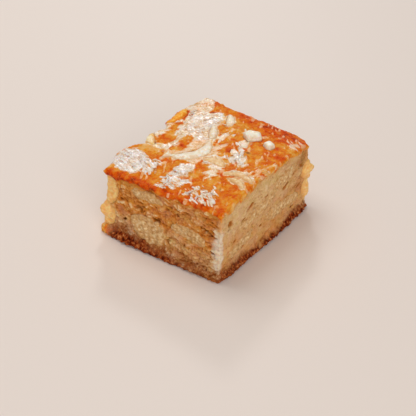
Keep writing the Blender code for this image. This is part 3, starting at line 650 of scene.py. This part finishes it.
# painted shade: the crust is a little darker in its fine pores
baked = add(tree, "Math", {0: fine_pore, 1: 0.1, 2: baked}, operation="MULTIPLY_ADD")
crust_colour = add(
    tree, "ValToRGB", {0: baked},
    [(0, "#F8C070"), (0.25, "#F5A02C"), (0.5, "#EC7606"), (0.75, "#E24E00"), (1, "#A02E00")],
)
slanted = add(
    tree, "Mapping", {"Vector": warped, "Rotation": (0, 0, math.radians(120)), "Scale": (1, 0.5, 1)},
    vector_type="TEXTURE",
)
film = add(tree, "TexNoise", {"Vector": slanted, "Scale": 1 / (5 * MM), "Detail": 5, "Roughness": 0.65})
film = add(tree, "MapRange", {"Value": film, "From Min": 0.5, "From Max": 0.7, "To Max": 0.3})
pale_baked = add(tree, "MapRange", {"Value": is_here["toast"], "From Min": 0.75, "From Max": 0.5})
film = add(tree, "Math", {0: film, 1: pale_baked}, operation="MULTIPLY")
# the pale specks are partly sugar and partly painted glints
sugar_and_glint_speck = add(tree, "MapRange", {"Value": tiny, "From Min": 0.58, "From Max": 0.7, "To Max": 0.5})
glint_speck_places = add(tree, "MapRange", {"Value": tint, "From Min": 0.4, "From Max": 0.6})
sugar_and_glint_speck = add(tree, "Math", {0: sugar_and_glint_speck, 1: glint_speck_places}, operation="MULTIPLY")
for share, over in ((film, "#F2AC58"), (sugar_and_glint_speck, "#F9C478")):
    crust_colour = add(tree, "Mix", {0: share, 6: crust_colour, 7: over}, data_type="RGBA", out=2)
base_shade = add(tree, "TexNoise", {"Vector": at, "Scale": 1 / (1.4 * MM), "Detail": 4})
base_colour = add(
    tree, "ValToRGB", {0: base_shade},
    [(0.32, "#420E04"), (0.48, "#7E2A0C"), (0.6, "#B05A26"), (0.74, "#E0A46C")],
)

# Skin: cells of a crazed film, each a flat facet with its own lean, with cracks and drawn-out crinkles
facet = add(tree, "TexVoronoi", {"Vector": warped, "Scale": 1 / (FACET_SIZE * MM)}).node.outputs
from_middle = add(tree, "VectorMath", {0: warped, 1: facet["Position"]}, operation="SUBTRACT")
lean = add(tree, "VectorMath", {0: facet["Color"], 1: (0.5, 0.5, 0.5)}, operation="SUBTRACT")
facet_height = add(tree, "VectorMath", {0: from_middle, 1: lean}, operation="DOT_PRODUCT", out="Value")
facet_tone = add(tree, "SeparateColor", {0: facet["Color"]})
crack = add(
    tree, "TexVoronoi", {"Vector": warped, "Scale": 1 / (FACET_SIZE * MM)}, feature="DISTANCE_TO_EDGE"
)
crack = add(tree, "MapRange", {"Value": crack, "From Min": 0.02, "From Max": 0.11, "To Min": 1, "To Max": 0})
crazed = add(tree, "MapRange", {"Value": tint, "From Min": 0.46, "From Max": 0.6})
crazed = add(tree, "Math", {0: crazed, 1: is_here["white"]}, operation="MULTIPLY")
crack = add(tree, "Math", {0: crack, 1: crazed}, operation="MULTIPLY")
drawn = add(tree, "Mapping", {"Vector": warped, "Scale": (1, 3.5, 1)})
crinkle = add(tree, "TexNoise", {"Vector": drawn, "Scale": 1 / (4.5 * MM), "Detail": 3})
crinkle = add(tree, "Math", {0: crinkle, 1: 0.5}, operation="SUBTRACT")
crinkle = add(tree, "Math", {0: crinkle}, operation="ABSOLUTE")
crinkle = add(
    tree, "MapRange", {"Value": crinkle, "From Min": 0.008, "From Max": 0.045, "To Min": 1, "To Max": 0}
)
crinkle = add(tree, "Math", {0: crinkle, 1: is_here["white"]}, operation="MULTIPLY")
crack = add(tree, "Math", {0: crinkle, 1: crack}, operation="MAXIMUM")

# The skin's colour: beige where it is thin, white where it is thick, with darker cracks and creases and a
# golden edge
skin_shade = add(tree, "Math", {0: is_here["folds"], 1: 0.35, 2: grain}, operation="MULTIPLY_ADD")
skin_shade = add(tree, "Math", {0: facet_tone, 1: 0.2, 2: skin_shade}, operation="MULTIPLY_ADD")
# the whitest skin is made whiter still, partly its own white and partly a painted sheen
whitest_and_sheen = add(tree, "MapRange", {"Value": is_here["white"], "From Min": 0.55, "From Max": 1, "To Max": 0.16})
skin_shade = add(tree, "Math", {0: skin_shade, 1: whitest_and_sheen}, operation="ADD")
beige = add(
    tree, "ValToRGB", {0: skin_shade},
    [(0.52, "#D69C58"), (0.7, "#ECC890"), (0.85, "#F5E0BA"), (1, "#FCF4E2")],
)
pale = add(
    tree, "ValToRGB", {0: skin_shade},
    [(0.52, "#C08C5C"), (0.67, "#E9D2BC"), (0.79, "#FBF6F2"), (0.92, "#FFFFFF")],
)
# cracks show the crust's tan; the same tone in the crinkles is painted shade in their creases
crack_and_crease_shade = add(tree, "Math", {0: crack, 1: 0.7}, operation="MULTIPLY")
skin_edge = add(tree, "Math", {0: grain, 1: 0.24, 2: -0.12}, operation="MULTIPLY_ADD")
skin_edge = add(tree, "Math", {0: skin_edge, 1: is_here["skin"]}, operation="ADD")
golden = add(
    tree, "MapRange", {"Value": skin_edge, "From Min": 0.5, "From Max": 0.78, "To Min": 0.7, "To Max": 0}
)
skin_colour = beige
for share, over in ((is_here["white"], pale), (crack_and_crease_shade, "#C08A58"), (golden, "#EDC284")):
    skin_colour = add(tree, "Mix", {0: share, 6: skin_colour, 7: over}, data_type="RGBA", out=2)
skin_share = add(tree, "MapRange", {"Value": skin_edge, "From Min": 0.43, "From Max": 0.57})
thin = add(tree, "MapRange", {"Value": flecks, "From Min": 0.3, "From Max": 0.6, "To Min": 0.8, "To Max": 1})
dense = add(tree, "MapRange", {"Value": is_here["white"], "From Max": 0.3, "To Min": 0.45, "To Max": 1})
thin = add(tree, "Math", {0: thin, 1: dense}, operation="MULTIPLY")
covered = add(tree, "Math", {0: skin_share, 1: thin}, operation="MULTIPLY")

# The crusts over the crumb, and the skin over the top crust
colour = crumb_colour
over_all = ((is_here["crust"], crust_colour), (is_here["base_crust"], base_colour), (covered, skin_colour))
for share, over in over_all:
    colour = add(tree, "Mix", {0: share, 6: colour, 7: over}, data_type="RGBA", out=2)
tree.links.new(colour, surface.inputs["Base Color"])
shine = add(
    tree, "Math", {0: is_here["crust"], 1: is_here["base_crust"]}, operation="SUBTRACT", use_clamp=True
)
dull = add(tree, "MapRange", {"Value": shine, "To Min": 0.85, "To Max": 0.42})
dull = add(tree, "Math", {0: skin_share, 1: -0.12, 2: dull}, operation="MULTIPLY_ADD")
tree.links.new(dull, surface.inputs["Roughness"])
gloss = add(tree, "Math", {0: skin_share, 1: is_here["white"]}, operation="MULTIPLY")
gloss = add(tree, "Math", {0: gloss, 1: 0.7}, operation="MULTIPLY")
tree.links.new(gloss, surface.inputs["Coat Weight"])
surface.inputs["Coat Roughness"].default_value = 0.14
surface.inputs["Specular IOR Level"].default_value = 0.12
surface.inputs["Specular Tint"].default_value = linear("#FFCC94")
surface.inputs["Subsurface Weight"].default_value = 0.2
surface.inputs["Subsurface Radius"].default_value = (1.0, 0.5, 0.2)
surface.inputs["Subsurface Scale"].default_value = 2.5 * MM

# Heights of the fine relief, in millimetres
crumb_height = add(tree, "Math", {0: hole, 1: -0.6, 2: tiny}, operation="MULTIPLY_ADD")
baked_height = add(tree, "Math", {0: grain, 1: 1.1, 2: tiny}, operation="MULTIPLY_ADD")
height = add(tree, "Mix", {0: is_here["crust"], 2: crumb_height, 3: baked_height})
leaning = add(tree, "Math", {0: is_here["white"], 1: 0.5 / MM, 2: 0.1 / MM}, operation="MULTIPLY_ADD")
skin_height = add(tree, "Math", {0: facet_height, 1: leaning}, operation="MULTIPLY")
skin_height = add(tree, "Math", {0: crack, 1: -0.14, 2: skin_height}, operation="MULTIPLY_ADD")
skin_height = add(tree, "Math", {0: skin_height, 1: 0.75}, operation="ADD")
height = add(tree, "Mix", {0: skin_share, 2: height, 3: skin_height})
bump = add(tree, "Bump", {"Strength": 0.8, "Distance": 0.6 * MM, "Height": height})
tree.links.new(bump, surface.inputs["Normal"])


def finish_piece(piece, finish, replaced=None):
    """Gives a piece its material and slot, and sets it on the body in place of a CAD node."""
    piece.data.materials.clear()
    piece.data.materials.append(finish)
    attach(piece, "root")
    if replaced:
        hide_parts(replaced)


make_active(sponge)
bpy.ops.object.shade_smooth()
finish_piece(sponge, sponge_finish, "sponge")

# THE APPLE IN THE CUT FACES
# Slices of a tart apple, baked soft in the batter and cut through with the cake. Their cut ends are
# smooth, moist and a little see-through, with the fibres of the flesh, and the crumb clings to them.

# Size of the mesh, growth into the hollow, how uneven the growth is, and depth of the relief
CUT_FLESH = {"voxel": 0.4, "growth": 0.95, "stray": 0.85, "relief": 0.5}
WALL_REACH = 9.0


def fleshed(node_name, voxel, growth, stray, relief, cut_axis=None):
    """A copy of an apple node with an even skin and soft uneven flesh, grown sideways to fill its hollow."""
    piece = merged_copy(node_name, node_name + "_flesh")
    apply_modifier(piece, "REMESH", mode="VOXEL", voxel_size=voxel * MM)
    apply_modifier(piece, "SMOOTH", factor=0.5, iterations=3)
    at, out = points_of(piece), normals_of(piece)
    lumps = cloud(at, 3.2, 81) + 0.6 * cloud(at, 1.3, 82)
    sideways = out.copy()
    if cut_axis is not None:
        sideways[:, cut_axis] = 0
    spread = growth + stray * cloud(at, 3, 84)
    put_points(piece, at + sideways * spread[:, None] + out * (relief * lumps)[:, None])
    at = points_of(piece)
    wall = distance(solid_tree, at, WALL_REACH)
    store(piece, "rim", 1 - step(wall + 1.2 * cloud(at, 2.2, 83) + 0.5 * cloud(at, 0.9, 85), 0.4, 2.2))
    bpy.ops.object.shade_smooth()
    return piece


def apple_flesh(name, tones, rim, rim_share, wet, clear, rough=0.7):
    """Baked apple flesh from three tones spread over the noise of its fibres, and the tone of its edge."""
    made, tree, surface = new_material(name)
    at = add(tree, "TexCoord", out="Object")
    flat = add(tree, "Mapping", {"Vector": at, "Scale": (1, 1, 1.3)})
    fibres = add(tree, "TexNoise", {"Vector": flat, "Scale": 1 / (1.8 * MM), "Detail": 4})
    flesh = add(tree, "ValToRGB", {0: fibres}, [(0.32, tones[0]), (0.5, tones[1]), (0.68, tones[2])])
    rim_is = add(tree, "Attribute", attribute_name="rim", out="Fac")
    edge = add(tree, "TexNoise", {"Vector": flat, "Scale": 1 / (1.1 * MM), "Detail": 3})
    edge = add(tree, "Math", {0: rim_is, 1: edge}, operation="ADD")
    edge = add(tree, "MapRange", {"Value": edge, "From Min": 0.75, "From Max": 1.25, "To Max": rim_share})
    flesh = add(tree, "Mix", {0: edge, 6: flesh, 7: rim}, data_type="RGBA", out=2)
    tree.links.new(flesh, surface.inputs["Base Color"])
    dull = add(tree, "Math", {0: fibres, 1: 0.2, 2: 0.7 - wet}, operation="MULTIPLY_ADD")
    tree.links.new(dull, surface.inputs["Roughness"])
    surface.inputs["Coat Weight"].default_value = 0.5 * wet
    surface.inputs["Coat Roughness"].default_value = 0.15
    surface.inputs["Specular IOR Level"].default_value = 0.3
    surface.inputs["Subsurface Weight"].default_value = clear
    surface.inputs["Subsurface Radius"].default_value = (1.0, 0.7, 0.35)
    surface.inputs["Subsurface Scale"].default_value = 2.5 * MM
    pores = add(tree, "TexNoise", {"Vector": flat, "Scale": 1 / (0.8 * MM), "Detail": 4, "Distortion": 0.6})
    bump = add(tree, "Bump", {"Strength": rough, "Distance": 0.5 * MM, "Height": pores})
    tree.links.new(bump, surface.inputs["Normal"])
    return made


# Moist flesh, tan from the crumb round it
slice_finish = apple_flesh(
    "baked apple in the crumb", ("#BA8448", "#DAAC70", "#F2D6A6"), "#CE9452",
    rim_share=0.35, wet=0.2, clear=0.25, rough=0.6,
)
for name in apple_nodes:
    side = name.split("_")[1]
    if side in SIDES:
        finish_piece(fleshed(name, **CUT_FLESH, cut_axis=SIDES[side][0]), slice_finish, name)

# THE CARAMELISED APPLE AT THE CORNERS AND EDGES
# Apple that baked against the tin or at the open edge, soft and nearly clear, its sugar turned amber.
# The wedge in the crust's edge is glazed a deep orange, and the one further along is pale as honey.
CORNER_FLESH = {"voxel": 0.4, "growth": 1.1, "stray": 0.4, "relief": 0.35}
EDGE_FLESH = {"voxel": 0.3, "growth": 0.6, "stray": 0.3, "relief": 0.25}
HONEY_FLESH = {"voxel": 0.3, "growth": 0.4, "stray": 0.2, "relief": 0.25}
# Nearly clear flesh that lets the light through, so it has little relief of its own
amber_finish = apple_flesh(
    "caramelised apple", ("#F2B25C", "#F8C478", "#FBD692"), "#E8A85A",
    rim_share=0.6, wet=0.3, clear=0.6, rough=0.1,
)
for name in ("apple_corner_upper", "apple_corner_low", "apple_tip", "apple_edge"):
    finish_piece(fleshed(name, **CORNER_FLESH), amber_finish, name)
glazed_finish = apple_flesh(
    "caramelised apple in the crust", ("#F09010", "#FFAE2A", "#FFD266"), "#EC860A",
    rim_share=0.4, wet=0.2, clear=0.4,
)
finish_piece(fleshed("apple_top_edge", **EDGE_FLESH), glazed_finish, "apple_top_edge")
honey_finish = apple_flesh(
    "honeyed apple", ("#F2C070", "#F9DDAA", "#FFF3DC"), "#F0B04A",
    rim_share=0.6, wet=0.4, clear=0.4, rough=0.4,
)
finish_piece(fleshed("apple_top_amber", **HONEY_FLESH), honey_finish, "apple_top_amber")

# THE APPLE IN THE TOP
# Thin slices and chunks that rose to the top of the batter and dried pale, with smooth faces.
# Those that lie flat in the crust took on its colour, and the two chunks stayed white.
TOP_FLESH = {"voxel": 0.28, "growth": 0.35, "stray": 0.25, "relief": 0.16}
CHUNK_FLESH = {"voxel": 0.28, "growth": 0.15, "stray": 0.1, "relief": 0.14}
pale_finish = apple_flesh(
    "oven-dried apple", ("#F0D6B0", "#FAEAD2", "#FFF9F0"), "#EDC494", rim_share=0.6, wet=0.3, clear=0.25
)
tan_finish = apple_flesh(
    "apple baked into the crust", ("#EABC80", "#F3CE9A", "#F9E0BA"), "#E8B070",
    rim_share=0.6, wet=0.3, clear=0.25,
)
for name in PALE_SLICES:
    in_crust = name.split("_")[2] in ("crescent", "sliver", "strip")
    finish_piece(fleshed(name, **TOP_FLESH), tan_finish if in_crust else pale_finish, name)
chunk_finish = apple_flesh(
    "white apple chunk", ("#EFDDBC", "#F8EEDA", "#FEFAF0"), "#EDD3A4", rim_share=0.3, wet=0.3, clear=0.3
)
for name in ("apple_chunk_large", "apple_chunk_small"):
    finish_piece(fleshed(name, **CHUNK_FLESH), chunk_finish, name)

# THE FLAKES OF DRIED SKIN
# Whisked egg and sugar dries to a paper-thin white skin on the batter, which cracks and lifts as it bakes.
# One flake is modelled and copied over the flaky patches, each copy torn, sized, bent and turned its own way.
FLAKE_CORNERS = 7
FLAKE_THICKNESS = 0.14
PATTERN_THICKNESS = 0.05  # of the flake that is copied, which is 1 long
FLAKE_LENGTH = (1.8, 6.0, 2.8)  # least, most and usual
FLAKE_WIDTH = (0.25, 0.5)  # shares of the length
FLAKE_BEND = (-0.05, 0.12)
FLAKE_LIFT = (-2, 14, 2)  # degrees
FLAKE_SPREAD = 25  # degrees to either side of the patch's strips
TORN_RADIUS = (0.55, 1.15)
HINGE = 0.35  # share of the length from a flake's middle to where it lifts from
LOWEST_CRUST = 34
STEEPEST = 0.6
FLAKES = {
    "left corner": 22, "left splinters": 14, "near lobe": 4, "near middle": 16, "near right": 30,
    "far left": 10, "middle": 16, "right slices": 3, "left rim bits": 3, "striped": 4, "strip": 5,
}
top_tree = BVHTree.FromPolygons(
    [Vector(p) for p in points_of(sponge).tolist()], [tuple(p.vertices) for p in sponge.data.polygons]
)
deselect_all()
bpy.ops.mesh.primitive_circle_add(vertices=FLAKE_CORNERS, radius=0.5, fill_type="TRIFAN")
pattern = bpy.context.object
apply_modifier(pattern, "SOLIDIFY", thickness=PATTERN_THICKNESS, offset=0)
flake_shape = np.array([v.co for v in pattern.data.vertices])
flake_faces = [tuple(p.vertices) for p in pattern.data.polygons]
bpy.data.objects.remove(pattern)
turns = np.arctan2(flake_shape[:, 1], flake_shape[:, 0]) / (2 * math.pi)
flake_corner = np.round(turns * FLAKE_CORNERS).astype(int) % FLAKE_CORNERS

draw = random.Random(7)
copies = []
for patch, count in FLAKES.items():
    outline, _, _, turn = SKINS[patch]
    low, high = np.min(outline, axis=0), np.max(outline, axis=0)
    placed = 0
    while placed < count:
        across, along = draw.uniform(low[0], high[0]), draw.uniform(low[1], high[1])
        if inside(np.array([[across, along, 0.0]]), outline)[0] < 0.3:
            continue
        placed += 1
        hit, up, _, _ = top_tree.ray_cast(Vector((across, along, ABOVE_ALL)), Vector((0, 0, -1)))
        if hit is None or hit.z < LOWEST_CRUST or up.z < STEEPEST:
            continue
        length = draw.triangular(*FLAKE_LENGTH)
        width = length * draw.uniform(*FLAKE_WIDTH)
        bend = draw.uniform(*FLAKE_BEND)
        lift = math.radians(draw.triangular(*FLAKE_LIFT))
        heading = math.radians(turn + draw.gauss(0, FLAKE_SPREAD)) + (math.pi if draw.random() < 0.5 else 0)
        torn_edge = np.array([draw.uniform(*TORN_RADIUS) for _ in range(FLAKE_CORNERS)])
        shape = flake_shape * (length, width, FLAKE_THICKNESS / PATTERN_THICKNESS)
        shape[:, :2] *= torn_edge[flake_corner][:, None]
        shape[:, 2] += bend * shape[:, 0] ** 2 / length
        from_hinge, rise = shape[:, 0] + length * HINGE, shape[:, 2]
        tilted_x = from_hinge * math.cos(lift) - rise * math.sin(lift) - length * HINGE
        tilted_z = from_hinge * math.sin(lift) + rise * math.cos(lift) + 0.08
        turned_x = tilted_x * math.cos(heading) - shape[:, 1] * math.sin(heading)
        turned_y = tilted_x * math.sin(heading) + shape[:, 1] * math.cos(heading)
        slope = -(up.x * turned_x + up.y * turned_y) / up.z
        copies.append(np.stack([hit.x + turned_x, hit.y + turned_y, hit.z + tilted_z + slope], 1))
faces = [tuple(i * len(flake_shape) + v for v in face) for i in range(len(copies)) for face in flake_faces]
mesh = bpy.data.meshes.new("skin_flakes")
mesh.from_pydata([tuple(p) for p in np.concatenate(copies) * MM], [], faces)
flake_piece = bpy.data.objects.new("skin_flakes", mesh)
bpy.context.scene.collection.objects.link(flake_piece)

# Dried egg and sugar: a white, slightly glossy shell with beige clouds
skin_finish, tree, surface = new_material("dried egg and sugar skin")
at = add(tree, "TexCoord", out="Object")
tone = add(tree, "TexNoise", {"Vector": at, "Scale": 1 / (2.2 * MM), "Detail": 3})
shell = add(tree, "ValToRGB", {0: tone}, [(0.3, "#E3B98E"), (0.46, "#F1DCC6"), (0.66, "#FDF8F2")])
tree.links.new(shell, surface.inputs["Base Color"])
surface.inputs["Roughness"].default_value = 0.35
surface.inputs["Subsurface Weight"].default_value = 0.2
surface.inputs["Subsurface Radius"].default_value = (1.0, 0.7, 0.5)
surface.inputs["Subsurface Scale"].default_value = 1.0 * MM
finish_piece(flake_piece, skin_finish)

# THE FLOOR, THE LIGHT AND THE CAMERA
# A plain pale floor, and square lamps that face the cake: a broad key from above, a small one behind that
# makes the skin shine, and a broad low fill in front.
FLOOR_SIZE = 4.0
LAMPS = {  # place and side in metres, watts and colour
    "key": ((-0.5, 0.1, 1.1), 0.7, 5.2, "#FFFAF3"),
    "back": ((-0.59, 0.79, 0.72), 0.16, 2.0, "#FFFFFF"),
    "front fill": ((0.95, -0.75, 0.6), 0.9, 7.0, "#FFF8F0"),
}
LAMP_AIM = (0, 0, 0.02)
ROOM_LIGHT = 0.4
CAMERA_AT = (260.7, -354.5, 309.3)
CAMERA_AIM = (-4.9, 5.5, 0)
LENS = 85

deselect_all()
bpy.ops.mesh.primitive_plane_add(size=FLOOR_SIZE)
floor = bpy.context.object
floor.name = "floor"
floor_finish, tree, surface = new_material("matt painted floor")
surface.inputs["Base Color"].default_value = linear("#E8DCD4")
surface.inputs["Roughness"].default_value = 0.6
floor.data.materials.append(floor_finish)

for name, (place, side, watts, tone) in LAMPS.items():
    lamp = bpy.data.lights.new(name, "AREA")
    lamp.size = side
    lamp.energy = watts
    lamp.color = linear(tone)[:3]
    holder = bpy.data.objects.new(name, lamp)
    holder.location = place
    holder.rotation_euler = (Vector(LAMP_AIM) - Vector(place)).to_track_quat("-Z", "Y").to_euler()
    bpy.context.scene.collection.objects.link(holder)
world = bpy.data.worlds.new("studio")
world.use_nodes = True
world.node_tree.nodes["Background"].inputs["Color"].default_value = linear("#FFFFFF")
world.node_tree.nodes["Background"].inputs["Strength"].default_value = ROOM_LIGHT
bpy.context.scene.world = world
bpy.context.scene.view_settings.view_transform = "Standard"

camera_data = bpy.data.cameras.new("camera")
camera_data.lens = LENS
camera = bpy.data.objects.new("camera", camera_data)
camera.location = Vector(CAMERA_AT) * MM
aim = (Vector(CAMERA_AIM) - Vector(CAMERA_AT)) * MM
camera.rotation_euler = aim.to_track_quat("-Z", "Y").to_euler()
bpy.context.scene.collection.objects.link(camera)
bpy.context.scene.camera = camera
